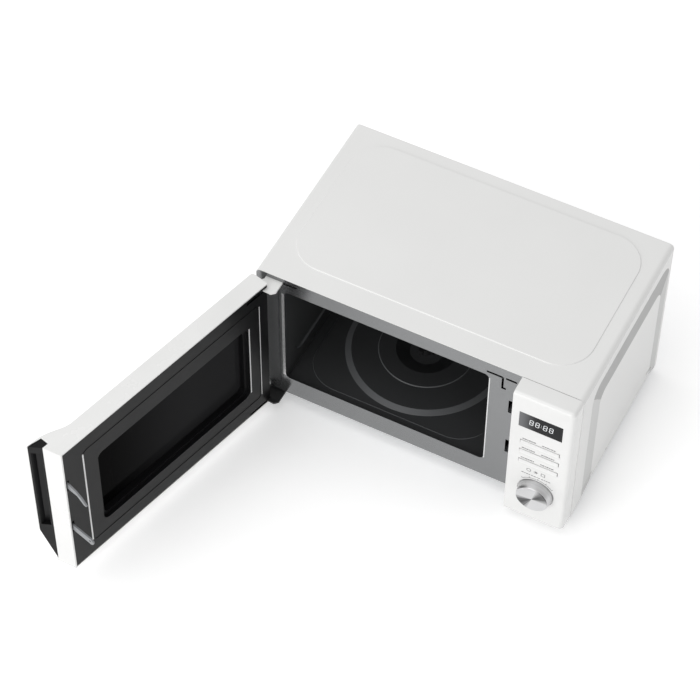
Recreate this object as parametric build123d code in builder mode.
"""Countertop microwave oven, built as separate pieces, with its door open on the stop.

Frame: millimetres, +X to the right, +Y to the back, +Z up. The origin is on the worktop,
under the middle of the cabinet's footprint. The door is drawn closed and then turned open.
"""
from build123d import *
import math
import os

os.makedirs("parts", exist_ok=True)

# ---------------------------------------------------------------- driving sizes
# Cabinet
cabinet_width = 440.0
cabinet_depth = 270.0
cabinet_height = 242.0
foot_height = 12.0
sheet = 0.8                     # steel sheet of cabinet and cavity
cover_edge_radius = 7.0
cover_flange = 12.0             # rear flange that the back screws go through

# Front frame and cavity opening, measured from the cabinet's sides, top and bottom
frame_lift = 13.1               # front frame starts this far above the cabinet's bottom
opening_left_margin = 38.5
opening_right_margin = 123.0
opening_bottom_margin = 45.3
opening_top_margin = 24.1
opening_corner_radius = 7.0
floor_drop = 5.3                # cavity floor below the opening's lower lip
cavity_rear_gap = 20.0          # between the cavity's back and the cabinet's
base_setback = 13.0             # base plate starts this far behind the front

# Turntable floor, radii about the drive
ring_wall_margin = 19.5         # from the ring's outer edge to the nearest cavity wall
ring_slope = 8.0
ring_rise = 3.0
small_ring_radius = 63.0
small_ring_rise = 0.8
well_outer_radius = 40.0
well_inner_radius = 22.0
well_depth = 5.0

# Control panel
panel_width = 80.5
panel_stand = 26.3              # panel front ahead of the front frame
panel_lift = 5.0
panel_wall = 2.4
window_shift = -1.5             # window's middle to the right of the panel's middle
window_width = 57.1
window_height = 28.3
window_drop = 31.0              # window's top edge below the panel's top
key_shift = 0.2
key_length = 51.1
key_height = 6.5
key_shares = (0.265, 0.455, 0.661)  # upper edges of the keys, as shares of the way from window to knob
key_gap = 0.65
key_stand = 1.3
key_pin_radius = 1.2
key_pin_reach = 1.9             # how far a pin stands past its key, into an ear
key_rock_angle = 3.0
knob_lift = 56.0                # knob centre above the panel's bottom
knob_shift = 0.3
knob_base_radius = 23.5
knob_face_radius = 21.3
knob_stand = 12.0
knob_gap = 1.1

# Door, as closed
door_open_angle = 105.0
door_gap = 1.0                  # door's inner face ahead of the front frame
door_thickness = 25.1
door_side_inset = 3.0           # hinge edge in from the cabinet's side
door_lift = 4.4
door_wall = 2.0
door_skin = 3.1
hinge_inset = 8.2               # hinge axis in from the cabinet's side
hinge_cover = 7.0               # hinge axis behind the back of the door's outer skin
door_to_panel_gap = 1.7
free_end_slant = 6.5            # the free end leans out by this from inner face to notch
notch_out = 23.7
grip_reach = 11.5               # how far the handle's lip goes past the notch
handle_stand = 14.0             # handle's crest ahead of the door's front
handle_width = 47.0             # handle's foot to the notch, along the door
pin_radius = 2.5
running_fit = 0.06

# Latch hooks and their slots in the front frame
hook_thickness = 2.2
hook_slot_width = 7.4
upper_slot_drop = 81.0          # its lower edge below the cabinet's top
upper_slot_height = 24.0
lower_slot_bottom = 80.0        # its lower edge above the cabinet's bottom
lower_slot_height = 25.0
hook_neck = 9.4                 # height of each hook where it leaves the bar
latch_travel = 3.0
spring_length = 16.0
spring_pitch = 2.9
spring_radius = 2.6
spring_wire_radius = 0.4

# ---------------------------------------------------------------- worked-out lines
left_x = -cabinet_width / 2
right_x = cabinet_width / 2
front_y = -cabinet_depth / 2
rear_y = cabinet_depth / 2
bottom_z = foot_height
top_z = bottom_z + cabinet_height

inner_left_x = left_x + sheet
inner_right_x = right_x - sheet
frame_back_y = front_y + sheet
rear_sheet_y = rear_y - sheet          # rear face of the rear panel
rear_inner_y = rear_sheet_y - sheet    # front face of the rear panel
inner_top_z = top_z - sheet
inner_bottom_z = bottom_z + sheet

opening_left = left_x + opening_left_margin
opening_right = right_x - opening_right_margin
opening_bottom = bottom_z + opening_bottom_margin
opening_top = top_z - opening_top_margin
floor_z = opening_bottom - floor_drop
cavity_back_y = rear_y - cavity_rear_gap
cavity_depth = cavity_back_y - front_y
cavity_width = opening_right - opening_left
cavity_side_x = opening_right + sheet   # face of the cavity wall in the machine bay
turntable_x = (opening_left + opening_right) / 2
turntable_y = front_y + cavity_depth / 2
ring_outer_radius = min(cavity_depth, cavity_width) / 2 - ring_wall_margin
ring_inner_radius = ring_outer_radius - ring_slope
well_z = floor_z + ring_rise + small_ring_rise - well_depth

panel_left = right_x - panel_width
panel_front = front_y - panel_stand
panel_inner = panel_front + panel_wall
panel_bottom = bottom_z + panel_lift
panel_mid_x = (panel_left + right_x) / 2
window_left = panel_mid_x + window_shift - window_width / 2
window_top = top_z - window_drop
key_mid_x = panel_mid_x + key_shift
key_left = key_mid_x - key_length / 2
key_pivot_y = panel_inner + 2.3
knob_x = panel_mid_x + knob_shift
knob_z = panel_bottom + knob_lift
key_room = window_top - window_height - (knob_z + knob_base_radius + knob_gap)
key_tops = [window_top - window_height - share * key_room for share in key_shares]
board_front = panel_inner + 7.2
board_back = board_front + 1.6

door_inner = front_y - door_gap
door_front = door_inner - door_thickness
skin_back = door_front + door_skin
hinge_x = left_x + hinge_inset
hinge_y = skin_back + hinge_cover
hinge_axis = Axis((hinge_x, hinge_y, 0), (0, 0, 1))
door_left = left_x + door_side_inset
door_bottom = bottom_z + door_lift
door_top = top_z
notch_x = panel_left - door_to_panel_gap
notch_y = door_inner - notch_out
door_right = notch_x - free_end_slant
tip_x = notch_x + grip_reach
handle_crest = door_front - handle_stand


# ---------------------------------------------------------------- helpers
def facing_front(y):
    """Plane at this y with local axes X and Z; a positive extrusion comes forward."""
    return Plane(origin=(0, y, 0), x_dir=(1, 0, 0), z_dir=(0, -1, 0))


def facing_right(x):
    """Plane at this x with local axes Y and Z; a positive extrusion goes right."""
    return Plane(origin=(x, 0, 0), x_dir=(0, 1, 0), z_dir=(1, 0, 0))


def block(x0, x1, y0, y1, z0, z1, mode=Mode.ADD):
    """A box between two corners, in the part being built."""
    with Locations(((x0 + x1) / 2, (y0 + y1) / 2, (z0 + z1) / 2)):
        Box(abs(x1 - x0), abs(y1 - y0), abs(z1 - z0), mode=mode)


def rod(start, direction, radius, length, mode=Mode.ADD):
    """A round bar from a start point along a direction."""
    with Locations(Plane(origin=start, z_dir=direction)):
        Cylinder(radius, length, align=(Align.CENTER, Align.CENTER, Align.MIN), mode=mode)


def slots(plane, points, width, height, depth):
    """Slots with round ends cut through a sheet, at points in the plane."""
    with BuildSketch(plane) as slot_shape:
        with Locations(*points):
            SlotOverall(width, height)
    extrude(slot_shape.sketch, amount=depth, both=True, mode=Mode.SUBTRACT)


def screw(start, direction, head_radius, head_height, shank_radius, shank_length):
    """A pan-head screw whose head stands on the start point."""
    rod(start, direction, head_radius, head_height)
    rod(start, tuple(-value for value in direction), shank_radius, shank_length)


def save(part, label):
    """Names a piece and writes its file."""
    part.label = label
    export_step(part, f"parts/{label}.step")


def save_on_door(part, label):
    """Turns a piece drawn with the door closed to the open door, and writes its file."""
    save(part.rotate(hinge_axis, -door_open_angle), label)


# ---------------------------------------------------------------- outer cover
side_recess_depth = 2.0
side_recess_front = front_y + 31.0
side_recess_rear = rear_y - 6.0
side_recess_top = top_z - 24.0
side_recess_front_slope = 33.0
side_recess_rear_slope = 14.0
side_recess_top_slope = 43.0
side_recess_radius = 24.0
top_rise = 1.2
top_plateau_front_margin = 31.0
top_plateau_rear_margin = 18.0
top_plateau_side_margin = 21.5
top_plateau_radius = 45.0
side_notch_y = -22.0
screw_hole_radius = 2.0


def side_recess(side_x, toward):
    """The pressed-in field of one side, as a tapering solid that runs out past the lower edge."""
    field_low = bottom_z - side_recess_radius * 2
    with BuildPart(mode=Mode.PRIVATE) as field:
        for share in (0, 1):
            field_front = side_recess_front + share * side_recess_front_slope
            field_rear = side_recess_rear - share * side_recess_rear_slope
            field_top = side_recess_top - share * side_recess_top_slope
            with BuildSketch(facing_right(side_x + toward * share * side_recess_depth)):
                with Locations(((field_front + field_rear) / 2, (field_low + field_top) / 2)):
                    RectangleRounded(field_rear - field_front, field_top - field_low,
                                     side_recess_radius - 8 * share)
        loft()
    return field.part


with BuildPart(mode=Mode.PRIVATE) as cover_void:
    block(inner_left_x, inner_right_x, front_y - 1, rear_sheet_y, bottom_z - 1, inner_top_z)
    upper_edges = cover_void.edges().filter_by(Axis.Y).group_by(Axis.Z)[-1]
    fillet(upper_edges, cover_edge_radius - sheet)
    add(side_recess(inner_left_x, 1), mode=Mode.SUBTRACT)
    add(side_recess(inner_right_x, -1), mode=Mode.SUBTRACT)

with BuildPart() as outer_cover:
    block(left_x, right_x, front_y, rear_y, bottom_z, top_z)
    upper_edges = outer_cover.edges().filter_by(Axis.Y).group_by(Axis.Z)[-1]
    fillet(upper_edges, cover_edge_radius)
    plateau_mid_y = (top_plateau_front_margin - top_plateau_rear_margin) / 2
    with BuildSketch(Plane.XY.offset(top_z)):
        with Locations((0, plateau_mid_y)):
            RectangleRounded(
                cabinet_width - 2 * top_plateau_side_margin,
                cabinet_depth - top_plateau_front_margin - top_plateau_rear_margin,
                top_plateau_radius,
            )
    extrude(amount=top_rise, taper=35)
    add(side_recess(left_x, 1), mode=Mode.SUBTRACT)
    add(side_recess(right_x, -1), mode=Mode.SUBTRACT)
    add(cover_void.part, mode=Mode.SUBTRACT)
    block(
        inner_left_x + cover_flange, inner_right_x - cover_flange,
        rear_sheet_y - 1, rear_y + 1, bottom_z - 1, inner_top_z - cover_flange, Mode.SUBTRACT,
    )
    # short slots above the lower edge of both sides
    for side_x in (left_x, right_x):
        slots(facing_right(side_x), [(front_y + 49, bottom_z + 12.5)], 36, 2.2, 6)
        slots(facing_right(side_x), [(rear_y - 23, bottom_z + 11.5)], 15, 2.2, 6)
    # a small notch in the lower edge of both sides
    for side_x in (left_x, right_x):
        block(side_x - 6, side_x + 6, side_notch_y - 2, side_notch_y + 2, bottom_z - 1, bottom_z + 5,
              Mode.SUBTRACT)
    # holes for the back screws, in the flange
    cover_screw_places = [
        (inner_left_x + cover_flange / 2, bottom_z + 40),
        (inner_left_x + cover_flange / 2, top_z - 60),
        (inner_right_x - cover_flange / 2, bottom_z + 40),
        (inner_right_x - cover_flange / 2, top_z - 60),
        (0, inner_top_z - cover_flange / 2),
    ]
    for x, z in cover_screw_places:
        rod((x, rear_y + 1, z), (0, -1, 0), screw_hole_radius, 3, Mode.SUBTRACT)
save(outer_cover.part, "outer_cover")

# ---------------------------------------------------------------- rear panel
bay_right = inner_right_x - side_recess_depth      # clear width of the machine bay ends here
fan_x = (cavity_side_x + bay_right) / 2
fan_z = top_z - 64.0
fan_side_room = 17.7            # from the blades' tips to the bay's sides
fan_radius = (bay_right - cavity_side_x) / 2 - fan_side_room
fan_clearance = 2.0
shroud_half = fan_radius + fan_clearance + 3.0
gland_x = fan_x
gland_z = bottom_z + 38.0
gland_radius = 7.0

with BuildPart() as rear_panel:
    block(inner_left_x, inner_right_x, rear_inner_y, rear_sheet_y, inner_bottom_z, inner_top_z)
    upper_edges = rear_panel.edges().filter_by(Axis.Y).group_by(Axis.Z)[-1]
    fillet(upper_edges, cover_edge_radius - sheet)
    intake_rows = [(fan_x, fan_z + 9.0 * step) for step in range(-4, 5)]
    slots(facing_front(rear_y), intake_rows, 2 * fan_radius - 18, 4, 6)
    outlet_rows = [(turntable_x - 60, top_z - 50 - 8.0 * step) for step in range(5)]
    slots(facing_front(rear_y), outlet_rows, 70, 3.5, 6)
    rod((gland_x, rear_y + 1, gland_z), (0, -1, 0), gland_radius, 4, Mode.SUBTRACT)
    for x, z in cover_screw_places:
        rod((x, rear_y + 1, z), (0, -1, 0), screw_hole_radius, 4, Mode.SUBTRACT)
save(rear_panel.part, "rear_panel")

with BuildPart() as cover_screws:
    for x, z in cover_screw_places:
        screw((x, rear_y, z), (0, 1, 0), 4.0, 2.2, 1.9, 5)
save(cover_screws.part, "cover_screws")

with BuildPart() as cord_gland:
    rod((gland_x, rear_sheet_y, gland_z), (0, 1, 0), gland_radius + 3, 3)
    rod((gland_x, rear_sheet_y, gland_z), (0, -1, 0), gland_radius, 8)
    rod((gland_x, rear_y + 4, gland_z), (0, -1, 0), 3.6, 20, Mode.SUBTRACT)
save(cord_gland.part, "cord_gland")

# ---------------------------------------------------------------- base plate and feet
foot_radius = 11.0
foot_side_margin = 34.0
foot_front_margin = 34.0
foot_rear_margin = 26.0
foot_places = {
    "foot_front_left": (left_x + foot_side_margin, front_y + foot_front_margin),
    "foot_front_right": (right_x - foot_side_margin, front_y + foot_front_margin),
    "foot_rear_left": (left_x + foot_side_margin, rear_y - foot_rear_margin),
    "foot_rear_right": (right_x - foot_side_margin, rear_y - foot_rear_margin),
}
base_front = front_y + base_setback
frame_bottom = bottom_z + frame_lift
transformer_x = (cavity_side_x + inner_right_x) / 2
capacitor_y = front_y + 59.0
capacitor_wide = 32.0
strap_thickness = 1.0
strap_foot = 13.0
strap_back_y = capacitor_y + capacitor_wide / 2 + strap_thickness
# halfway between the capacitor strap's foot and the rear feet
transformer_y = (strap_back_y + strap_foot + rear_y - foot_rear_margin) / 2
transformer_foot_x = 31.0       # its screws, to each side of the middle
transformer_foot_y = 40.0
transformer_feet = [
    (transformer_x + side * transformer_foot_x, transformer_y + end * transformer_foot_y)
    for side in (-1, 1) for end in (-1, 1)
]

with BuildPart() as base_plate:
    block(inner_left_x, inner_right_x, base_front, rear_inner_y, bottom_z, inner_bottom_z)
    block(inner_left_x, inner_right_x, base_front, base_front + sheet, bottom_z, frame_bottom + sheet)
    block(inner_left_x, inner_right_x, frame_back_y, base_front + sheet, frame_bottom, frame_bottom + sheet)
    # the cover's pressed fields reach in past the plate's side edges
    add(side_recess(inner_left_x, 1), mode=Mode.SUBTRACT)
    add(side_recess(inner_right_x, -1), mode=Mode.SUBTRACT)
    vent_rows = [(transformer_x, front_y + 75 - 8.0 * step) for step in range(5)]
    slots(Plane.XY.offset(bottom_z), vent_rows, 60, 4, 3)
    left_rows = [(opening_left + 40, rear_y - 95 + 8.0 * step) for step in range(5)]
    slots(Plane.XY.offset(bottom_z), left_rows, 60, 4, 3)
    for x, y in foot_places.values():
        rod((x, y, bottom_z - 1), (0, 0, 1), 3.0, 3, Mode.SUBTRACT)
    for x, y in transformer_feet:
        rod((x, y, bottom_z - 1), (0, 0, 1), screw_hole_radius, 3, Mode.SUBTRACT)
save(base_plate.part, "base_plate")

for foot_name, (foot_x, foot_y) in foot_places.items():
    with BuildPart() as foot:
        with Locations((foot_x, foot_y, 0)):
            Cone(foot_radius - 1.5, foot_radius, foot_height, align=(Align.CENTER, Align.CENTER, Align.MIN))
            Cylinder(2.9, foot_height + 5, align=(Align.CENTER, Align.CENTER, Align.MIN))
            Cylinder(2.5, 3, align=(Align.CENTER, Align.CENTER, Align.MIN), mode=Mode.SUBTRACT)
        fillet(foot.edges().filter_by(GeomType.CIRCLE).group_by(Axis.Z)[0].sort_by(SortBy.RADIUS)[-1:], 1.0)
    save(foot.part, foot_name)

# ---------------------------------------------------------------- front frame
hook_x = door_right - 6.0                      # left face of the latch hooks, door closed
slot_left = hook_x - 0.7
upper_slot_z = top_z - upper_slot_drop
lower_slot_z = bottom_z + lower_slot_bottom
plate_thickness = 2.5
plate_slack = 1.0                              # free height above and below a hinge plate
upper_plate_z = top_z - 10.0                   # underside of the upper hinge plate
lower_plate_z = frame_bottom - 5.0             # underside of the lower hinge plate
plate_left = hinge_x + 5.8
plate_right = hinge_x + 28.8
plate_front = hinge_y - 6.0
plate_slot_gap = 0.4
plate_slot_extra = 19.0                        # how far the slot runs on past the upper plate

with BuildPart() as front_frame:
    block(inner_left_x, inner_right_x, front_y, frame_back_y, frame_bottom, inner_top_z)
    upper_edges = front_frame.edges().filter_by(Axis.Y).group_by(Axis.Z)[-1]
    fillet(upper_edges, cover_edge_radius - sheet)
    with BuildSketch(facing_front(front_y)):
        with Locations(((opening_left + opening_right) / 2, (opening_bottom + opening_top) / 2)):
            RectangleRounded(cavity_width, opening_top - opening_bottom, opening_corner_radius)
    extrude(amount=3, both=True, mode=Mode.SUBTRACT)
    # slots for the two latch hooks
    for slot_z, slot_height in ((upper_slot_z, upper_slot_height), (lower_slot_z, lower_slot_height)):
        block(slot_left, slot_left + hook_slot_width, front_y - 1, frame_back_y + 1,
              slot_z, slot_z + slot_height, Mode.SUBTRACT)
    # slot for the upper hinge plate, long enough to slip the plate in from the side
    block(plate_left - plate_slot_gap, plate_right + plate_slot_extra, front_y - 1, frame_back_y + 1,
          upper_plate_z - plate_slot_gap, upper_plate_z + plate_thickness + plate_slot_gap, Mode.SUBTRACT)
    # long thin slot over the opening's right corner, with a hooked tail
    tail_x = opening_right + 18.5
    tail_slit = 3.4
    slots(facing_front(front_y), [(tail_x - 11.5, top_z - 17.5)], 22, tail_slit, 3)
    slots(facing_front(front_y), [(tail_x + 10.5, top_z - 17.5)], 15, tail_slit, 3)
    block(tail_x - 2.2, tail_x + 0.6, front_y - 1, frame_back_y + 1, top_z - 36, top_z - 17, Mode.SUBTRACT)
    block(tail_x - 2.2, tail_x + 4.0, front_y - 1, frame_back_y + 1, top_z - 36 - tail_slit, top_z - 36,
          Mode.SUBTRACT)
    # openings behind the control panel
    block(panel_left + 12, right_x - 12, front_y - 1, frame_back_y + 1, bottom_z + 70, top_z - 40,
          Mode.SUBTRACT)
save(front_frame.part, "front_frame")

# ---------------------------------------------------------------- cavity
field_corner = 48.0
field_margin = 13.0             # raised field of the floor, in from the cavity's walls
field_rise = 0.8


def floor_shape(drop):
    """A thick slab whose upper face is the pressed cavity floor, lowered by a drop."""
    with BuildPart(mode=Mode.PRIVATE) as slab:
        block(opening_left - sheet, opening_right + sheet, frame_back_y, cavity_back_y + sheet,
              floor_z - 20 - drop, floor_z - field_rise - drop)
        with BuildSketch(Plane.XY.offset(floor_z - field_rise - drop)):
            with Locations((turntable_x, turntable_y)):
                RectangleRounded(cavity_width - 2 * field_margin, cavity_depth - 2 * field_margin,
                                 field_corner)
        extrude(amount=field_rise, taper=30)
        with Locations((turntable_x, turntable_y, floor_z - drop)):
            Cone(ring_outer_radius, ring_inner_radius, ring_rise,
                 align=(Align.CENTER, Align.CENTER, Align.MIN))
        with Locations((turntable_x, turntable_y, floor_z + ring_rise - drop)):
            Cone(small_ring_radius, small_ring_radius - 1.2, small_ring_rise,
                 align=(Align.CENTER, Align.CENTER, Align.MIN))
        with Locations((turntable_x, turntable_y, well_z - drop)):
            Cone(well_inner_radius, well_outer_radius, well_depth,
                 align=(Align.CENTER, Align.CENTER, Align.MIN), mode=Mode.SUBTRACT)
    return slab.part


coupler_shaft_radius = 3.0
coupler_hole_radius = 6.0

with BuildPart() as cavity_floor:
    add(floor_shape(0))
    add(floor_shape(sheet), mode=Mode.SUBTRACT)
    rod((turntable_x, turntable_y, well_z - 5), (0, 0, 1), coupler_hole_radius, 10, Mode.SUBTRACT)
save(cavity_floor.part, "cavity_floor")

floor_rim_z = floor_z - field_rise
shroud_depth = 26.0
shroud_front = rear_inner_y - shroud_depth
motor_front = shroud_front - 34.0
yoke_long = 80.0
magnetron_y = motor_front - yoke_long / 2 - 8.4
waveguide_y = magnetron_y - 20.0
waveguide_long = 90.0
waveguide_low = top_z - 104.0
waveguide_high = top_z - 40.0
waveguide_depth = 20.0
port_long = 74.0
port_high = 40.0
port_z = (waveguide_low + waveguide_high) / 2
lamp_y = 68.0
lamp_z = top_z - 132.0

with BuildPart(mode=Mode.PRIVATE) as room:
    block(opening_left, opening_right, frame_back_y - 1, cavity_back_y + 1, floor_rim_z - 1, opening_top)
    fillet(room.edges().filter_by(Axis.Y).group_by(Axis.Z)[-1], opening_corner_radius)

with BuildPart(mode=Mode.PRIVATE) as wall_field:
    with BuildSketch(facing_right(opening_left)):
        with Locations((turntable_y, (floor_z + opening_top) / 2)):
            RectangleRounded(cavity_depth - 50, opening_top - floor_z - 40, 24)
    extrude(amount=-2.4, taper=30)

with BuildPart() as cavity_walls:
    block(opening_left - sheet, opening_right + sheet, frame_back_y, cavity_back_y,
          floor_rim_z, opening_top + sheet)
    fillet(cavity_walls.edges().filter_by(Axis.Y).group_by(Axis.Z)[-1], opening_corner_radius + sheet)
    add(room.part, mode=Mode.SUBTRACT)
    # pressed field in the left wall
    add(wall_field.part.moved(Location((-sheet, 0, 0))))
    add(wall_field.part, mode=Mode.SUBTRACT)
    # waveguide port, lamp holes and air inlet holes in the right wall
    block(opening_right - 1, cavity_side_x + 1, waveguide_y - port_long / 2, waveguide_y + port_long / 2,
          port_z - port_high / 2, port_z + port_high / 2, Mode.SUBTRACT)
    with BuildSketch(facing_right(opening_right)):
        with Locations((lamp_y, lamp_z)):
            with GridLocations(6, 6, 4, 4):
                Circle(1.8)
        with Locations((-85, top_z - 70)):
            with GridLocations(7, 7, 5, 4):
                Circle(2.0)
    extrude(amount=2, both=True, mode=Mode.SUBTRACT)
save(cavity_walls.part, "cavity_walls")

with BuildPart() as cavity_back:
    block(opening_left - sheet, opening_right + sheet, cavity_back_y, cavity_back_y + sheet,
          floor_rim_z, opening_top + sheet)
    fillet(cavity_back.edges().filter_by(Axis.Y).group_by(Axis.Z)[-1], opening_corner_radius + sheet)
    with BuildSketch(facing_front(cavity_back_y)):
        with Locations((turntable_x - 60, top_z - 66)):
            with GridLocations(8, 8, 9, 4):
                Circle(2.0)
    extrude(amount=2, both=True, mode=Mode.SUBTRACT)
save(cavity_back.part, "cavity_back")

with BuildPart() as mica_cover:
    block(opening_right - 0.6, opening_right, waveguide_y - port_long / 2 - 7, waveguide_y + port_long / 2 + 7,
          port_z - port_high / 2 - 7, port_z + port_high / 2 + 7)
    fillet(mica_cover.edges().filter_by(Axis.X), 5)
save(mica_cover.part, "mica_cover")

# ---------------------------------------------------------------- turntable drive
turntable_motor_radius = 24.5
turntable_motor_height = 14.0
motor_top = well_z - sheet - 3.6
motor_lug_reach = well_outer_radius + 6.0
motor_post_top = floor_z + ring_rise + small_ring_rise - sheet
coupler_height = 9.0

with BuildPart() as turntable_motor:
    rod((turntable_x, turntable_y, motor_top), (0, 0, -1), turntable_motor_radius, turntable_motor_height)
    # lugs and posts that hang the motor from the raised floor round the well
    block(turntable_x - motor_lug_reach - 4, turntable_x + motor_lug_reach + 4,
          turntable_y - 5, turntable_y + 5, motor_top - 1.2, motor_top)
    for side in (-1, 1):
        rod((turntable_x + side * motor_lug_reach, turntable_y, motor_top), (0, 0, 1), 3.0,
            motor_post_top - motor_top)
    rod((turntable_x, turntable_y, motor_top + 1), (0, 0, -1), coupler_shaft_radius + running_fit, 9,
        Mode.SUBTRACT)
save(turntable_motor.part, "turntable_motor")

with BuildPart() as turntable_coupler:
    rod((turntable_x, turntable_y, motor_top - 7.6), (0, 0, 1), coupler_shaft_radius,
        well_z + 2 - motor_top + 7.6)
    rod((turntable_x, turntable_y, well_z + 0.8), (0, 0, 1), 8.5, coupler_height - 0.8)
    with Locations((turntable_x, turntable_y, well_z + 0.8)):
        with PolarLocations(8.0, 3):
            Cylinder(4.0, coupler_height - 0.8, align=(Align.CENTER, Align.CENTER, Align.MIN))
save(turntable_coupler.part, "turntable_coupler")

# ---------------------------------------------------------------- hinge brackets on the cabinet
with BuildPart() as hinge_bracket_upper:
    with BuildSketch(Plane.XY.offset(upper_plate_z)):
        with BuildLine():
            Polyline(
                (plate_left, frame_back_y + 2), (plate_left, front_y - 4), (hinge_x + 1, hinge_y + 4.4),
                (hinge_x + 1, hinge_y - 4.4), (plate_right - 5, plate_front), (plate_right, plate_front + 5),
                (plate_right, frame_back_y + 2), (plate_left, frame_back_y + 2),
            )
        make_face()
        with Locations((hinge_x, hinge_y)):
            Circle(4.5)
    extrude(amount=plate_thickness)
    block(plate_left, plate_right - 2, frame_back_y, frame_back_y + 2, upper_plate_z - 18, upper_plate_z)
    rod((hinge_x, hinge_y, upper_plate_z - 8), (0, 0, 1), pin_radius, 8 + plate_thickness + 4)
save(hinge_bracket_upper.part, "hinge_bracket_upper")

with BuildPart() as hinge_bracket_lower:
    with BuildSketch(Plane.XY.offset(lower_plate_z)):
        with BuildLine():
            Polyline(
                (plate_left, base_front), (plate_left, front_y - 4), (hinge_x + 1, hinge_y + 4.4),
                (hinge_x + 1, hinge_y - 4.4), (plate_right - 5, plate_front), (plate_right, plate_front + 5),
                (plate_right, base_front), (plate_left, base_front),
            )
        make_face()
        with Locations((hinge_x, hinge_y)):
            Circle(4.5)
    extrude(amount=plate_thickness)
    rod((hinge_x, hinge_y, lower_plate_z), (0, 0, 1), pin_radius, plate_thickness + 9)
save(hinge_bracket_lower.part, "hinge_bracket_lower")

# ---------------------------------------------------------------- latch board and switches
board_web_x = slot_left + hook_slot_width + 0.8
web_thickness = 2.0
switch_long = 28.0
switch_tall = 16.0
switch_thick = 10.0
latch_board_back = front_y + 44.0

with BuildPart() as latch_board:
    block(board_web_x, board_web_x + web_thickness, frame_back_y, latch_board_back,
          lower_slot_z - 14, upper_slot_z + upper_slot_height + 14)
    block(board_web_x, board_web_x + 14, frame_back_y, frame_back_y + 2, lower_slot_z - 14, lower_slot_z + 20)
    block(board_web_x, board_web_x + 14, frame_back_y, frame_back_y + 2,
          upper_slot_z, upper_slot_z + upper_slot_height + 14)
    # ledges that the hooks drop behind
    for slot_z in (upper_slot_z, lower_slot_z):
        block(slot_left - 2, board_web_x, frame_back_y, front_y + 38, slot_z - 6, slot_z - 3)
save(latch_board.part, "latch_board")

switch_places = {
    "switch_primary": (upper_slot_z + 4, front_y + 12),
    "switch_secondary": (lower_slot_z + 4, front_y + 12),
    "switch_monitor": ((upper_slot_z + lower_slot_z) / 2 + 4, front_y + 12),
}
for switch_name, (switch_z, switch_y) in switch_places.items():
    with BuildPart() as switch:
        switch_x = board_web_x + web_thickness
        block(switch_x, switch_x + switch_thick, switch_y, switch_y + switch_long,
              switch_z, switch_z + switch_tall)
        fillet(switch.edges().filter_by(Axis.X), 1.2)
        block(switch_x + 3, switch_x + 7, switch_y + 6, switch_y + 9, switch_z + switch_tall - 1,
              switch_z + switch_tall + 1.6)
        for step in range(3):
            block(switch_x + 2, switch_x + 8, switch_y + 4 + 9 * step, switch_y + 4.8 + 9 * step,
                  switch_z - 3, switch_z + 1)
        for end in (5, switch_long - 5):
            rod((switch_x - 1, switch_y + end, switch_z + 9), (1, 0, 0), 1.6, switch_thick + 2,
                Mode.SUBTRACT)
    save(switch.part, switch_name)

# ---------------------------------------------------------------- high-voltage parts
magnetron_z = port_z
antenna_radius = 7.5
yoke_tall = 86.0
yoke_wide = 50.0
yoke_wall = 1.6
filter_box = 16.0
magnet_height = 12.0
yoke_x = cavity_side_x + waveguide_depth

with BuildPart() as waveguide:
    block(cavity_side_x, yoke_x, waveguide_y - waveguide_long / 2, waveguide_y + waveguide_long / 2,
          waveguide_low, waveguide_high)
    block(cavity_side_x - 1, yoke_x - sheet, waveguide_y - waveguide_long / 2 + sheet,
          waveguide_y + waveguide_long / 2 - sheet, waveguide_low + sheet, waveguide_high - sheet, Mode.SUBTRACT)
    rod((yoke_x + 1, magnetron_y, magnetron_z), (-1, 0, 0), antenna_radius + 2, 4, Mode.SUBTRACT)
save(waveguide.part, "waveguide")

with BuildPart() as magnetron:
    block(yoke_x, yoke_x + yoke_wide, magnetron_y - yoke_long / 2, magnetron_y + yoke_long / 2,
          magnetron_z - yoke_tall / 2, magnetron_z + yoke_tall / 2)
    block(yoke_x + yoke_wall, yoke_x + yoke_wide - yoke_wall,
          magnetron_y - yoke_long / 2 - 1, magnetron_y + yoke_long / 2 + 1,
          magnetron_z - yoke_tall / 2 + yoke_wall, magnetron_z + yoke_tall / 2 - yoke_wall, Mode.SUBTRACT)
    # anode with its cooling fins and ring magnets between the yoke's walls
    rod((yoke_x + 1, magnetron_y, magnetron_z), (1, 0, 0), 20, yoke_wide - 2)
    for step in range(5):
        fin_x = yoke_x + 15 + 5 * step
        block(fin_x, fin_x + 0.6, magnetron_y - yoke_long / 2 + 1, magnetron_y + yoke_long / 2 - 1,
              magnetron_z - yoke_tall / 2 + yoke_wall, magnetron_z + yoke_tall / 2 - yoke_wall)
    for magnet_x in (yoke_x + yoke_wall, yoke_x + yoke_wide - yoke_wall - magnet_height):
        rod((magnet_x, magnetron_y, magnetron_z), (1, 0, 0), 27, magnet_height)
    # antenna dome and filter box
    rod((yoke_x + 1, magnetron_y, magnetron_z), (-1, 0, 0), antenna_radius, waveguide_depth - 3)
    block(yoke_x + yoke_wide, yoke_x + yoke_wide + filter_box, magnetron_y - 24, magnetron_y + 24,
          magnetron_z - 18, magnetron_z + 18)
save(magnetron.part, "magnetron")

with BuildPart() as thermal_cutout:
    cutout_z = magnetron_z + yoke_tall / 2
    rod((yoke_x + 28, magnetron_y, cutout_z), (0, 0, 1), 8, 7)
    block(yoke_x + 16, yoke_x + 40, magnetron_y - 3, magnetron_y + 3, cutout_z, cutout_z + 0.8)
save(thermal_cutout.part, "thermal_cutout")

core_wide = 52.0
core_long = 66.0
core_tall = 56.0

core_low = inner_bottom_z + 2

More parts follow.
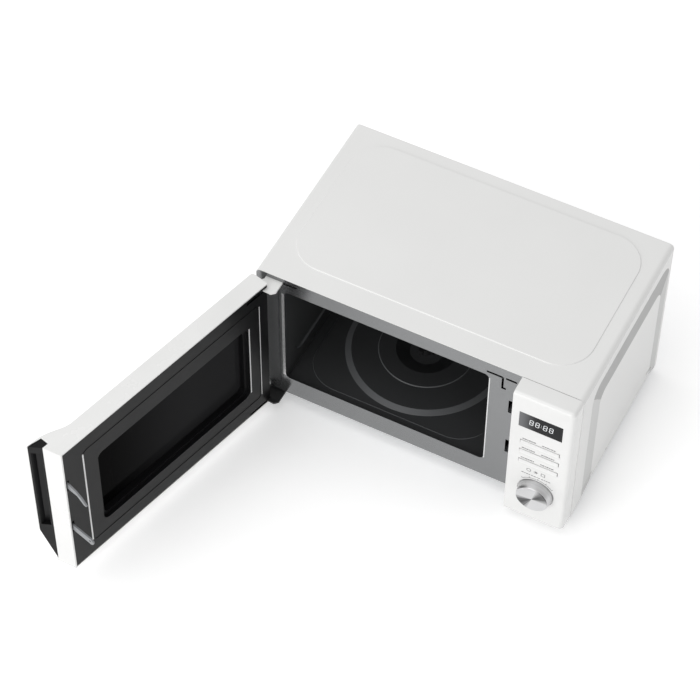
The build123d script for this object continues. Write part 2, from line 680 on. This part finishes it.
with BuildPart(mode=Mode.PRIVATE) as coils:
    for coil_z in (core_low + 17, core_low + 39):
        with BuildSketch(Plane.XY.offset(coil_z - 8)):
            with Locations((transformer_x, transformer_y)):
                RectangleRounded(core_wide - 10, core_long + 20, 14)
        extrude(amount=16)

with BuildPart() as transformer:
    block(transformer_x - transformer_foot_x - 6, transformer_x + transformer_foot_x + 6,
          transformer_y - transformer_foot_y - 6, transformer_y + transformer_foot_y + 6, inner_bottom_z, core_low)
    block(transformer_x - core_wide / 2, transformer_x + core_wide / 2, transformer_y - core_long / 2,
          transformer_y + core_long / 2, core_low, core_low + core_tall)
    # two coils that stand out of the laminated core at both ends
    add(coils.part)
    for x, y in transformer_feet:
        rod((x, y, inner_bottom_z - 1), (0, 0, 1), screw_hole_radius, 4, Mode.SUBTRACT)
save(transformer.part, "transformer")

with BuildPart() as transformer_screws:
    for x, y in transformer_feet:
        screw((x, y, inner_bottom_z + 2), (0, 0, 1), 4.2, 3.0, 1.9, 2 + sheet)
save(transformer_screws.part, "transformer_screws")

capacitor_x = bay_right - 35.0
capacitor_height = 88.0
capacitor_long = 52.0
with BuildPart() as capacitor:
    with BuildSketch(Plane.XY.offset(inner_bottom_z)):
        with Locations((capacitor_x, capacitor_y)):
            SlotOverall(capacitor_long, capacitor_wide)
    extrude(amount=capacitor_height)
    fillet(capacitor.faces().sort_by(Axis.Z)[-1].edges(), 1.5)
    for side in (-1, 1):
        rod((capacitor_x + side * 10, capacitor_y, inner_bottom_z + capacitor_height), (0, 0, 1), 4, 3)
        block(capacitor_x + side * 10 - 3, capacitor_x + side * 10 + 3, capacitor_y - 0.4, capacitor_y + 0.4,
              inner_bottom_z + capacitor_height, inner_bottom_z + capacitor_height + 11)
save(capacitor.part, "capacitor")

strap_z = inner_bottom_z + 40

with BuildPart() as capacitor_strap:
    with BuildSketch(Plane.XY.offset(strap_z)):
        with Locations((capacitor_x, capacitor_y)):
            SlotOverall(capacitor_long + 2 * strap_thickness, capacitor_wide + 2 * strap_thickness)
            SlotOverall(capacitor_long, capacitor_wide, mode=Mode.SUBTRACT)
    extrude(amount=14)
    block(capacitor_x - 6, capacitor_x + 6, strap_back_y - strap_thickness, strap_back_y,
          inner_bottom_z, strap_z + 14)
    block(capacitor_x - 6, capacitor_x + 6, strap_back_y - strap_thickness, strap_back_y + strap_foot,
          inner_bottom_z, inner_bottom_z + strap_thickness)
save(capacitor_strap.part, "capacitor_strap")

with BuildPart() as hv_diode:
    diode_z = strap_z + 14
    rod((capacitor_x, strap_back_y + 4, diode_z - 10), (0, 0, 1), 4, 22)
    block(capacitor_x - 3, capacitor_x + 3, strap_back_y, strap_back_y + 4, diode_z - 8, diode_z - 2)
save(hv_diode.part, "hv_diode")

with BuildPart() as noise_filter:
    filter_tall = 34.0
    # halfway between the gland's flange and the fan's shroud
    filter_z = (gland_z + gland_radius + 3 + fan_z - shroud_half - filter_tall) / 2
    block(fan_x - 36, fan_x + 36, rear_inner_y - 2, rear_inner_y, filter_z, filter_z + filter_tall)
    block(fan_x - 30, fan_x - 6, rear_inner_y - 20, rear_inner_y - 2, filter_z + 5, filter_z + 28)
    rod((fan_x + 16, rear_inner_y - 2, filter_z + 17), (0, -1, 0), 12, 14)
    rod((fan_x + 16, rear_inner_y - 5, filter_z + 17), (0, -1, 0), 5, 12, Mode.SUBTRACT)
save(noise_filter.part, "noise_filter")

# ---------------------------------------------------------------- fan
fan_hub_radius = 9.0
fan_core_half = 28.0            # half the motor's laminated core, across
fan_blade_depth = 12.0
fan_shaft_radius = 2.0

with BuildPart() as fan_shroud:
    block(fan_x - shroud_half, fan_x + shroud_half, shroud_front, rear_inner_y,
          fan_z - shroud_half, fan_z + shroud_half)
    rod((fan_x, shroud_front - 1, fan_z), (0, 1, 0), fan_radius + fan_clearance, shroud_depth + 2,
        Mode.SUBTRACT)
    # two arms that carry the motor in front of the fan
    for side in (-1, 1):
        arm_x = fan_x + side * (fan_radius + 3.5)
        block(arm_x - 3, arm_x + 3, motor_front + 8, shroud_front, fan_z - 6, fan_z + 6)
        arm_end = fan_x + side * (fan_core_half - 4)
        block(min(arm_x, arm_end), max(arm_x, arm_end), motor_front + 8, motor_front + 10, fan_z - 6, fan_z + 6)
save(fan_shroud.part, "fan_shroud")

with BuildPart() as fan_motor:
    # laminated stator with the coil on one limb
    block(fan_x - fan_core_half, fan_x + fan_core_half, motor_front + 10, motor_front + 24,
          fan_z - 22, fan_z + 22)
    block(fan_x - 12, fan_x + 12, motor_front + 4, motor_front + 30, fan_z - 40, fan_z - 22)
    rod((fan_x, motor_front + 6, fan_z), (0, 1, 0), 10, 22)
    rod((fan_x, motor_front + 10, fan_z), (0, 1, 0), fan_shaft_radius + running_fit, 20, Mode.SUBTRACT)
save(fan_motor.part, "fan_motor")

blade_front = shroud_front + 6.0
blade_mid_x = fan_x + (fan_radius + 7) / 2
blade_mid_y = blade_front + fan_blade_depth / 2

with BuildPart(mode=Mode.PRIVATE) as blade:
    with Locations(Location((blade_mid_x, blade_mid_y, fan_z), (32, 0, 0))):
        Box(fan_radius - 7, 1.2, 21)

with BuildPart() as fan_rotor:
    rod((fan_x, blade_front - 2, fan_z), (0, 1, 0), fan_hub_radius, fan_blade_depth + 4)
    rod((fan_x, motor_front + 10.5, fan_z), (0, 1, 0), fan_shaft_radius, blade_front - motor_front - 8)
    blade_axis = Axis((fan_x, 0, fan_z), (0, 1, 0))
    for step in range(6):
        add(blade.part.rotate(blade_axis, 60 * step))
save(fan_rotor.part, "fan_rotor")

# ---------------------------------------------------------------- cavity lamp
lamp_holder_depth = 20.0
lamp_flange_half = 15.0
lamp_tube_radius = 14.0
lamp_tube_wall = 2.0

with BuildPart() as lamp_holder:
    block(cavity_side_x, cavity_side_x + lamp_tube_wall, lamp_y - lamp_flange_half, lamp_y + lamp_flange_half,
          lamp_z - lamp_flange_half, lamp_z + lamp_flange_half)
    rod((cavity_side_x, lamp_y, lamp_z), (1, 0, 0), lamp_tube_radius, lamp_holder_depth + lamp_tube_wall)
    rod((cavity_side_x - 1, lamp_y, lamp_z), (1, 0, 0), lamp_tube_radius - lamp_tube_wall,
        lamp_holder_depth + 1, Mode.SUBTRACT)
save(lamp_holder.part, "lamp_holder")

lamp_glass_radius = 8.0
lamp_cap_radius = 6.0
lamp_centre = (cavity_side_x + lamp_glass_radius + 1, lamp_y, lamp_z)
lamp_cap_end = lamp_holder_depth - lamp_glass_radius - 1        # past the centre of the glass

with BuildPart() as lamp_bulb:
    # pear-shaped glass and its cap, turned about the lamp's own axis
    with BuildSketch(Plane(origin=lamp_centre, x_dir=(1, 0, 0), z_dir=(0, -1, 0))):
        with BuildLine():
            RadiusArc((-lamp_glass_radius, 0), (0, lamp_glass_radius), lamp_glass_radius)
            Polyline(
                (0, lamp_glass_radius), (5, lamp_cap_radius), (lamp_cap_end, lamp_cap_radius),
                (lamp_cap_end, 0), (-lamp_glass_radius, 0),
            )
        make_face()
    revolve(axis=Axis(lamp_centre, (1, 0, 0)))
save(lamp_bulb.part, "lamp_bulb")

# ---------------------------------------------------------------- control panel
panel_edge_radius = 6.0
panel_top_radius = 5.0
panel_seam = 0.8                # shadow gap between the panel and the cover
panel_seam_depth = 1.2
ear_gap = 0.9
ear_thickness = 1.2
window_flange = 0.8
knob_bush_radius = 4.4

with BuildPart() as control_panel:
    block(panel_left, right_x, panel_front, front_y, panel_bottom, top_z)
    front_face = control_panel.faces().sort_by(Axis.Y)[0]
    right_edge = front_face.edges().sort_by(Axis.X)[-1]
    fillet(right_edge, panel_edge_radius)
    front_face = control_panel.faces().filter_by(Axis.Y).sort_by(Axis.Y)[0]
    top_edge = front_face.edges().sort_by(Axis.Z)[-1]
    fillet(top_edge, panel_top_radius)
    front_face = control_panel.faces().filter_by(Axis.Y).sort_by(Axis.Y)[0]
    fillet(front_face.edges().sort_by(Axis.X)[0], 0.6)
    block(panel_left + panel_wall, right_x - panel_wall, panel_inner, front_y + 1,
          panel_bottom + panel_wall, top_z - panel_wall, Mode.SUBTRACT)
    # corner of the shell is thickened where the outside is rounded
    block(right_x - 5, right_x - panel_wall, panel_inner, panel_inner + 3, panel_bottom + panel_wall,
          top_z - panel_wall)
    block(panel_left + panel_wall, right_x - panel_wall, panel_inner, panel_inner + 3, top_z - 5,
          top_z - panel_wall)
    # shadow gap along the edges that meet the cover
    block(panel_left - 1, right_x + 1, front_y - panel_seam, front_y + 1,
          top_z - panel_seam_depth, top_z + 1, Mode.SUBTRACT)
    block(right_x - panel_seam_depth, right_x + 1, front_y - panel_seam, front_y + 1,
          panel_bottom - 1, top_z + 1, Mode.SUBTRACT)
    # display opening
    block(window_left, window_left + window_width, panel_front - 1, panel_inner + 1,
          window_top - window_height, window_top, Mode.SUBTRACT)
    # slots for the rocker keys, with a pair of ears behind each
    for key_top in key_tops:
        for ear_low in (key_top + ear_gap, key_top - key_height - ear_gap - ear_thickness):
            block(key_mid_x - 4, key_mid_x + 4, panel_inner, panel_inner + 5,
                  ear_low, ear_low + ear_thickness)
        block(key_left - key_gap, key_left + key_length + key_gap, panel_front - 1, panel_inner + 0.01,
              key_top - key_height - key_gap, key_top + key_gap, Mode.SUBTRACT)
        rod((key_mid_x, key_pivot_y, key_top - key_height - ear_gap - ear_thickness), (0, 0, 1),
            key_pin_radius + running_fit, key_height + 2 * (ear_gap + ear_thickness), Mode.SUBTRACT)
    # shallow seat and hole for the knob
    rod((knob_x, panel_front - 1, knob_z), (0, 1, 0), knob_base_radius + knob_gap, 2.4, Mode.SUBTRACT)
    rod((knob_x, panel_front - 1, knob_z), (0, 1, 0), knob_bush_radius, panel_wall + 4, Mode.SUBTRACT)
    # posts for the control board
    for post_x in (panel_left + 8, right_x - 8):
        for post_z in (panel_bottom + 40, top_z - 16):
            rod((post_x, panel_inner, post_z), (0, 1, 0), 3, board_front - panel_inner)
save(control_panel.part, "control_panel")

with BuildPart() as display_window:
    block(window_left, window_left + window_width, panel_front + 0.3, panel_inner,
          window_top - window_height, window_top)
    block(window_left - window_flange, window_left + window_width + window_flange,
          panel_inner, panel_inner + 1,
          window_top - window_height - window_flange, window_top + window_flange)
save(display_window.part, "display_window")

with BuildPart() as display_module:
    block(window_left + 2, window_left + window_width - 2, panel_inner + 1, board_front,
          window_top - window_height + 1, window_top - 1)
save(display_module.part, "display_module")

with BuildPart() as control_board:
    block(panel_left + 4, right_x - 4, board_front, board_back, panel_bottom + 34, top_z - 10)
    # relays, transformer and driver parts on the back
    block(panel_mid_x - 26, panel_mid_x, board_back, board_back + 9, bottom_z + 60, bottom_z + 78)
    block(panel_mid_x + 6, panel_mid_x + 26, board_back, board_back + 9, bottom_z + 60, bottom_z + 76)
    block(panel_mid_x - 20, panel_mid_x + 20, board_back, board_back + 3, bottom_z + 130, bottom_z + 146)
save(control_board.part, "control_board")

tact_reach = key_length / 2 - 4         # switches to each side of the key's pin
key_end_gap = 0.5                       # left between key and switch when the key is pressed
key_press = tact_reach * math.sin(math.radians(key_rock_angle))
tact_body = 3.0
tact_height = board_front - panel_inner - key_press - key_end_gap

with BuildPart() as tact_switches:
    for key_top in key_tops:
        for side in (-1, 1):
            tact_x = key_mid_x + side * tact_reach
            tact_z = key_top - key_height / 2
            block(tact_x - 3, tact_x + 3, board_front - tact_body, board_front, tact_z - 3, tact_z + 3)
            rod((tact_x, board_front - tact_body, tact_z), (0, -1, 0), 1.6, tact_height - tact_body)
save(tact_switches.part, "tact_switches")

for key_number, key_top in enumerate(key_tops, start=1):
    key_label = f"rocker_key_{key_number}"
    with BuildPart() as rocker_key:
        block(key_left, key_left + key_length, panel_front - key_stand, panel_inner,
              key_top - key_height, key_top)
        fillet(rocker_key.edges().filter_by(Axis.Y), 1.0)
        fillet(rocker_key.faces().filter_by(Axis.Y).sort_by(Axis.Y)[0].edges(), 0.5)
        block(key_mid_x - 3, key_mid_x + 3, panel_inner, panel_inner + 3.6,
              key_top - key_height + 0.4, key_top - 0.4)
        rod((key_mid_x, key_pivot_y, key_top - key_height - key_pin_reach), (0, 0, 1), key_pin_radius,
            key_height + 2 * key_pin_reach)
    save(rocker_key.part, key_label)

shaft_radius = 3.0
with BuildPart() as knob_encoder:
    encoder_front = board_front - 5.6
    block(knob_x - 7, knob_x + 7, encoder_front, board_front, knob_z - 7, knob_z + 7)
    rod((knob_x, encoder_front, knob_z), (0, -1, 0), knob_bush_radius - 0.1, encoder_front - panel_front - 1)
    rod((knob_x, board_front - 1.5, knob_z), (0, -1, 0), shaft_radius + running_fit, 20, Mode.SUBTRACT)
save(knob_encoder.part, "knob_encoder")

with BuildPart() as encoder_shaft:
    rod((knob_x, board_front - 2, knob_z), (0, -1, 0), shaft_radius,
        board_front - 2 - (panel_front - knob_stand + 3))
save(encoder_shaft.part, "encoder_shaft")

with BuildPart() as control_knob:
    with Locations(Plane(origin=(knob_x, panel_front + 0.8, knob_z), z_dir=(0, -1, 0))):
        Cone(knob_base_radius, knob_face_radius, knob_stand + 0.8,
             align=(Align.CENTER, Align.CENTER, Align.MIN))
    chamfer(control_knob.faces().filter_by(Axis.Y).sort_by(Axis.Y)[0].edges(), 0.7)
    # hollow behind the face, with a boss for the shaft
    rod((knob_x, panel_front + 2, knob_z), (0, -1, 0), knob_face_radius - 2.5, knob_stand - 2.5,
        Mode.SUBTRACT)
    rod((knob_x, panel_front - knob_stand + 1, knob_z), (0, 1, 0), 6.5, knob_stand - 1)
    rod((knob_x, panel_front + 2, knob_z), (0, -1, 0), shaft_radius, knob_stand - 1, Mode.SUBTRACT)
    rod((knob_x, panel_front + 2, knob_z), (0, -1, 0), knob_bush_radius + 0.5, 2.8, Mode.SUBTRACT)
save(control_knob.part, "control_knob")

# ---------------------------------------------------------------- door
glass_left = door_left + 26.0
glass_right = door_right - 47.0
glass_low = door_bottom + 28.0
glass_high = door_top - 28.0
glass_seat = 2.0
glass_lip = 6.0
slot_half = (plate_thickness + 2 * plate_slack) / 2
upper_slot_mid = upper_plate_z + plate_thickness / 2
lower_slot_mid = lower_plate_z + plate_thickness / 2
sweep_radius = 31.5
pocket_left = door_left + door_wall
pocket_right = door_right - door_wall
pocket_bottom = door_bottom + door_wall
pocket_top = door_top - door_wall
inner_panel_thickness = 2.0
grip_low_out = 72.0                # the lip's lower end rises by this from notch to tip
lip_low_end = door_bottom + 6 + grip_low_out
lip_tip_y = handle_crest
bar_front = skin_back + 5.0         # front and back edges of the bar that carries both hooks
bar_back = door_inner - 3.5
upper_hook_z = upper_slot_z + 11.0  # undersides of the two hooks' necks
lower_hook_z = lower_slot_z + 5.0
bar_top = upper_hook_z + 16.0
spring_high = bar_top + spring_length
spring_x = hook_x - 0.8
spring_y = skin_back + 9.5


def hinge_slots():
    """Space swept by the two hinge plates as the door turns, to cut from door pieces."""
    with BuildPart(mode=Mode.PRIVATE) as space:
        for mid_z in (upper_slot_mid, lower_slot_mid):
            rod((hinge_x, hinge_y, mid_z - slot_half), (0, 0, 1), sweep_radius, 2 * slot_half)
        block(door_left - 60, door_right, door_front - 10, skin_back, door_bottom - 5, door_top + 5,
              Mode.SUBTRACT)
    return space.part


with BuildPart(mode=Mode.PRIVATE) as grip_blank:
    with BuildSketch(Plane.XY.offset(door_bottom)):
        with BuildLine():
            Polyline(
                (notch_x, notch_y), (tip_x - 0.8, lip_tip_y + 1.1), (tip_x - 6.5, lip_tip_y + 1.6),
                (tip_x - 20, lip_tip_y + 4.2), (tip_x - 20, notch_y), (notch_x, notch_y),
            )
        make_face()
    extrude(amount=door_top - door_bottom)
    # the lip's lower end runs out along a slant
    with BuildSketch(facing_right(tip_x - 60)):
        with BuildLine():
            Polyline(
                (notch_y, door_bottom - 1), (notch_y, door_bottom + 6), (lip_tip_y - 2, lip_low_end),
                (lip_tip_y - 2, door_bottom - 1), (notch_y, door_bottom - 1),
            )
        make_face()
    extrude(amount=80, mode=Mode.SUBTRACT)

with BuildPart() as door_frame:
    with BuildSketch(Plane.XY.offset(door_bottom)):
        with BuildLine():
            Polyline(
                (door_left, door_front), (door_left, door_inner), (door_right, door_inner),
                (notch_x, notch_y), (tip_x, lip_tip_y),
            )
            Spline(
                (tip_x, lip_tip_y), (tip_x - 24.7, handle_crest + 2.5), (tip_x - 43.3, handle_crest + 9.5),
                (notch_x - handle_width, door_front), tangents=[(-1, 0.02), (-1, 0.12)],
            )
            Line((notch_x - handle_width, door_front), (door_left, door_front))
        make_face()
    extrude(amount=door_top - door_bottom)
    # the handle's lower end runs out along a slant
    with BuildSketch(facing_right(door_right - 60)):
        with BuildLine():
            Polyline(
                (door_front, door_bottom - 1), (door_front, door_bottom + 11),
                (lip_tip_y - 2, lip_low_end), (lip_tip_y - 2, door_bottom - 1), (door_front, door_bottom - 1),
            )
        make_face()
    extrude(amount=100, mode=Mode.SUBTRACT)
    fillet(door_frame.edges().filter_by(Axis.Z).group_by(Axis.X)[0].sort_by(Axis.Y)[-1], 1.5)
    fillet(door_frame.edges().filter_by(Axis.Z).group_by(Axis.X)[0].sort_by(Axis.Y)[0], 4.0)
    # hollow for the inner pieces
    block(pocket_left, pocket_right, skin_back, door_inner + 1, pocket_bottom, pocket_top, Mode.SUBTRACT)
    # the inner panel wraps the hinge edge
    block(door_left - 1, pocket_left, door_inner - inner_panel_thickness, door_inner + 1,
          pocket_bottom, pocket_top, Mode.SUBTRACT)
    # bosses for the hinge pins
    block(pocket_left, hinge_x + 5, skin_back, hinge_y + 5, upper_slot_mid - slot_half - 9, upper_slot_mid)
    block(pocket_left, hinge_x + 5, skin_back, hinge_y + 5, upper_slot_mid, pocket_top)
    block(pocket_left, hinge_x + 5, skin_back, hinge_y + 5, pocket_bottom, lower_slot_mid + slot_half + 12)
    add(hinge_slots(), mode=Mode.SUBTRACT)
    block(door_left - 1, hinge_x + 8, skin_back, door_inner + 1, upper_slot_mid - slot_half,
          upper_slot_mid + slot_half, Mode.SUBTRACT)
    block(door_left - 1, hinge_x + 8, skin_back, door_inner + 1, lower_slot_mid - slot_half,
          lower_slot_mid + slot_half, Mode.SUBTRACT)
    rod((hinge_x, hinge_y, upper_slot_mid - 11), (0, 0, 1), pin_radius + running_fit, 18, Mode.SUBTRACT)
    rod((hinge_x, hinge_y, lower_plate_z - 1), (0, 0, 1), pin_radius + running_fit, 15, Mode.SUBTRACT)
    # shelf over the latch spring
    block(hook_x - 6, pocket_right, skin_back, door_inner - 6, spring_high, spring_high + 3)
    # seat and opening for the window
    block(glass_left, glass_right, door_front - 1, door_front + glass_seat, glass_low, glass_high,
          Mode.SUBTRACT)
    block(glass_left + glass_lip, glass_right - glass_lip, door_front - 1, skin_back + 1,
          glass_low + glass_lip, glass_high - glass_lip, Mode.SUBTRACT)
    add(grip_blank.part, mode=Mode.SUBTRACT)
save_on_door(door_frame.part, "door_frame")

grip_mid_x = (notch_x + tip_x) / 2
grip_mid_y = (notch_y + lip_tip_y) / 2
grip_angle = math.degrees(math.atan2(tip_x - notch_x, notch_y - lip_tip_y))
pocket_low = door_bottom + 78.0
pocket_high = door_top - 12.0

with BuildPart() as door_grip:
    add(grip_blank.part)
    # finger recess in the face that looks back past the door's free end, drawn from the middle of that face
    turn = math.radians(grip_angle)
    face_plane = Plane(origin=(grip_mid_x, grip_mid_y, pocket_low), x_dir=(math.cos(turn), math.sin(turn), 0))
    with BuildSketch(face_plane):
        with BuildLine():
            Polyline((2, 6.6), (-6.5, 7.4), (-6.0, -1.0), (0, -5.6), (2, -5.6), (2, 6.6))
        make_face()
    extrude(amount=pocket_high - pocket_low, mode=Mode.SUBTRACT)
save_on_door(door_grip.part, "door_grip")

with BuildPart() as door_window:
    block(glass_left, glass_right, door_front, door_front + glass_seat, glass_low, glass_high)
    fillet(door_window.faces().sort_by(Axis.Y)[0].edges(), 0.5)
save_on_door(door_window.part, "door_window")

# steel tray that closes the door against microwaves, and its perforated screen
choke_left = door_left + 12.0
choke_right = door_right - 13.5
choke_low = lower_slot_mid + slot_half + 13.0
choke_high = upper_slot_mid - slot_half - 10.0
choke_front = skin_back + 0.5
choke_back = door_inner - 4.0
view_left = door_left + 34.3
view_right = door_right - 52.0
view_low = bottom_z + 49.0
view_high = top_z - 53.0
view_radius = 12.0
step_inset = 5.0
step_depth = 5.0
view_depth = 12.0
screen_y = door_inner - view_depth - 1.0

with BuildPart() as door_choke:
    block(choke_left, choke_right, choke_front, choke_back, choke_low, choke_high)
    block(choke_left + sheet, choke_right - sheet, choke_front + sheet, choke_back + 1,
          choke_low + sheet, choke_high - sheet, Mode.SUBTRACT)
    block(view_left - 4, view_right + 4, choke_front - 1, choke_back, view_low - 4, view_high + 4,
          Mode.SUBTRACT)
    # inner wall of the choke channel, ending in the flange that carries the screen
    with BuildSketch(facing_front(choke_front)):
        with Locations(((view_left + view_right) / 2, (view_low + view_high) / 2)):
            Rectangle(view_right - view_left + 8, view_high - view_low + 8)
            Rectangle(view_right - view_left + 8 - 2 * sheet, view_high - view_low + 8 - 2 * sheet,
                      mode=Mode.SUBTRACT)
    extrude(amount=-(screen_y - 1.6 - choke_front))
save_on_door(door_choke.part, "door_choke")

with BuildPart() as door_screen:
    block(view_left - 4, view_right + 4, screen_y - 1.6, screen_y - 1.0, view_low - 4, view_high + 4)
save_on_door(door_screen.part, "door_screen")

with BuildPart() as door_inner_window:
    block(view_left - 1, view_right + 1, screen_y - 1.0, screen_y, view_low - 1, view_high + 1)
save_on_door(door_inner_window.part, "door_inner_window")

ridge_left = door_left + 15.8
ridge_right = door_right - 32.0
ridge_low = bottom_z + 28.0
ridge_high = top_z - 26.5
hook_hole_left = hook_x - 0.8
hook_hole_right = hook_x + hook_thickness + 0.8

with BuildPart() as door_inner_panel:
    block(door_left, pocket_right, door_inner - inner_panel_thickness, door_inner, pocket_bottom, pocket_top)
    hinge_edge = door_inner_panel.edges().filter_by(Axis.Z).group_by(Axis.X)[0].sort_by(Axis.Y)[-1]
    fillet(hinge_edge, 1.5)
    # raised line round the field
    with BuildSketch(facing_front(door_inner)):
        with Locations(((ridge_left + ridge_right) / 2, (ridge_low + ridge_high) / 2)):
            RectangleRounded(ridge_right - ridge_left, ridge_high - ridge_low, 8)
            RectangleRounded(ridge_right - ridge_left - 3, ridge_high - ridge_low - 3, 6.5,
                             mode=Mode.SUBTRACT)
    extrude(amount=-0.5)
    # collar that steps down to the inner window
    with BuildSketch(facing_front(door_inner - 1)):
        with Locations(((view_left + view_right) / 2, (view_low + view_high) / 2)):
            RectangleRounded(view_right - view_left, view_high - view_low, view_radius)
    extrude(amount=view_depth)
    with BuildSketch(facing_front(door_inner + 1)):
        with Locations(((view_left + view_right) / 2, (view_low + view_high) / 2)):
            RectangleRounded(view_right - view_left - 3, view_high - view_low - 3, view_radius - 1.5)
    extrude(amount=1 + step_depth, mode=Mode.SUBTRACT)
    with BuildSketch(facing_front(door_inner - step_depth + 0.01)):
        with Locations(((view_left + view_right) / 2, (view_low + view_high) / 2)):
            RectangleRounded(view_right - view_left - 3 - 2 * step_inset,
                             view_high - view_low - 3 - 2 * step_inset, view_radius - 3)
    extrude(amount=view_depth - step_depth + 2, mode=Mode.SUBTRACT)
    # slots for the hooks, and clearance for the hinge plates
    for neck_z, low_room, high_room in ((upper_hook_z, 5, 1.6), (lower_hook_z, 4, 4.6)):
        block(hook_hole_left, hook_hole_right, door_inner - 3, door_inner + 1, neck_z - low_room,
              neck_z + hook_neck + latch_travel + high_room, Mode.SUBTRACT)
    add(hinge_slots(), mode=Mode.SUBTRACT)
    block(door_left - 1, hinge_x + sweep_radius, door_inner - 3, door_inner + 1, upper_slot_mid - slot_half,
          upper_slot_mid + slot_half, Mode.SUBTRACT)
    block(door_left - 1, hinge_x + sweep_radius, door_inner - 3, door_inner + 1, lower_slot_mid - slot_half,
          lower_slot_mid + slot_half, Mode.SUBTRACT)
save_on_door(door_inner_panel.part, "door_inner_panel")

# ---------------------------------------------------------------- latch hooks
with BuildPart() as latch_hooks:
    block(hook_x, hook_x + hook_thickness, bar_front, bar_back, lower_hook_z - 6, bar_top)
    # cup that the spring stands on
    block(hook_x - 4, hook_x + hook_thickness, bar_front, bar_front + 9, bar_top - 2, bar_top)
    with BuildSketch(facing_right(hook_x)):
        with BuildLine():
            Polyline(
                (bar_back - 1, upper_hook_z), (door_inner + 16, upper_hook_z - 1),
                (door_inner + 22, upper_hook_z - 6), (door_inner + 26, upper_hook_z - 9.4),
                (door_inner + 29, upper_hook_z - 9.6), (door_inner + 31, upper_hook_z - 8.2),
                (door_inner + 23.5, upper_hook_z), (door_inner + 14, upper_hook_z + 6),
                (door_inner + 2, upper_hook_z + 9), (bar_back - 1, upper_hook_z + hook_neck),
                (bar_back - 1, upper_hook_z),
            )
        make_face()
        with BuildLine():
            Polyline(
                (bar_back - 1, lower_hook_z), (door_inner + 26, lower_hook_z - 1.0),
                (door_inner + 30, lower_hook_z - 1.6), (door_inner + 34, lower_hook_z + 1.0),
                (door_inner + 34.5, lower_hook_z + 6.0), (door_inner + 31, lower_hook_z + 9.6),
                (bar_back - 1, lower_hook_z + hook_neck), (bar_back - 1, lower_hook_z),
            )
        make_face()
        with Locations((door_inner + 29, lower_hook_z + 4.4)):
            Circle(1.7, mode=Mode.SUBTRACT)
    extrude(amount=hook_thickness)
save_on_door(latch_hooks.part, "latch_hooks")

with BuildPart(mode=Mode.PRIVATE) as spring_wire:
    with BuildLine():
        coil = Helix(spring_pitch, spring_length + spring_pitch, spring_radius,
                     center=(spring_x, spring_y, bar_top - spring_pitch / 2))
    with BuildSketch(Plane(origin=coil @ 0, z_dir=coil % 0)):
        Circle(spring_wire_radius)
    sweep(is_frenet=True)

with BuildPart() as latch_spring:
    add(spring_wire.part)
    # both ends are ground flat
    block(spring_x - 10, spring_x + 10, spring_y - 10, spring_y + 10, bar_top - 10, bar_top, Mode.SUBTRACT)
    block(spring_x - 10, spring_x + 10, spring_y - 10, spring_y + 10, spring_high, spring_high + 10,
          Mode.SUBTRACT)
save_on_door(latch_spring.part, "latch_spring")
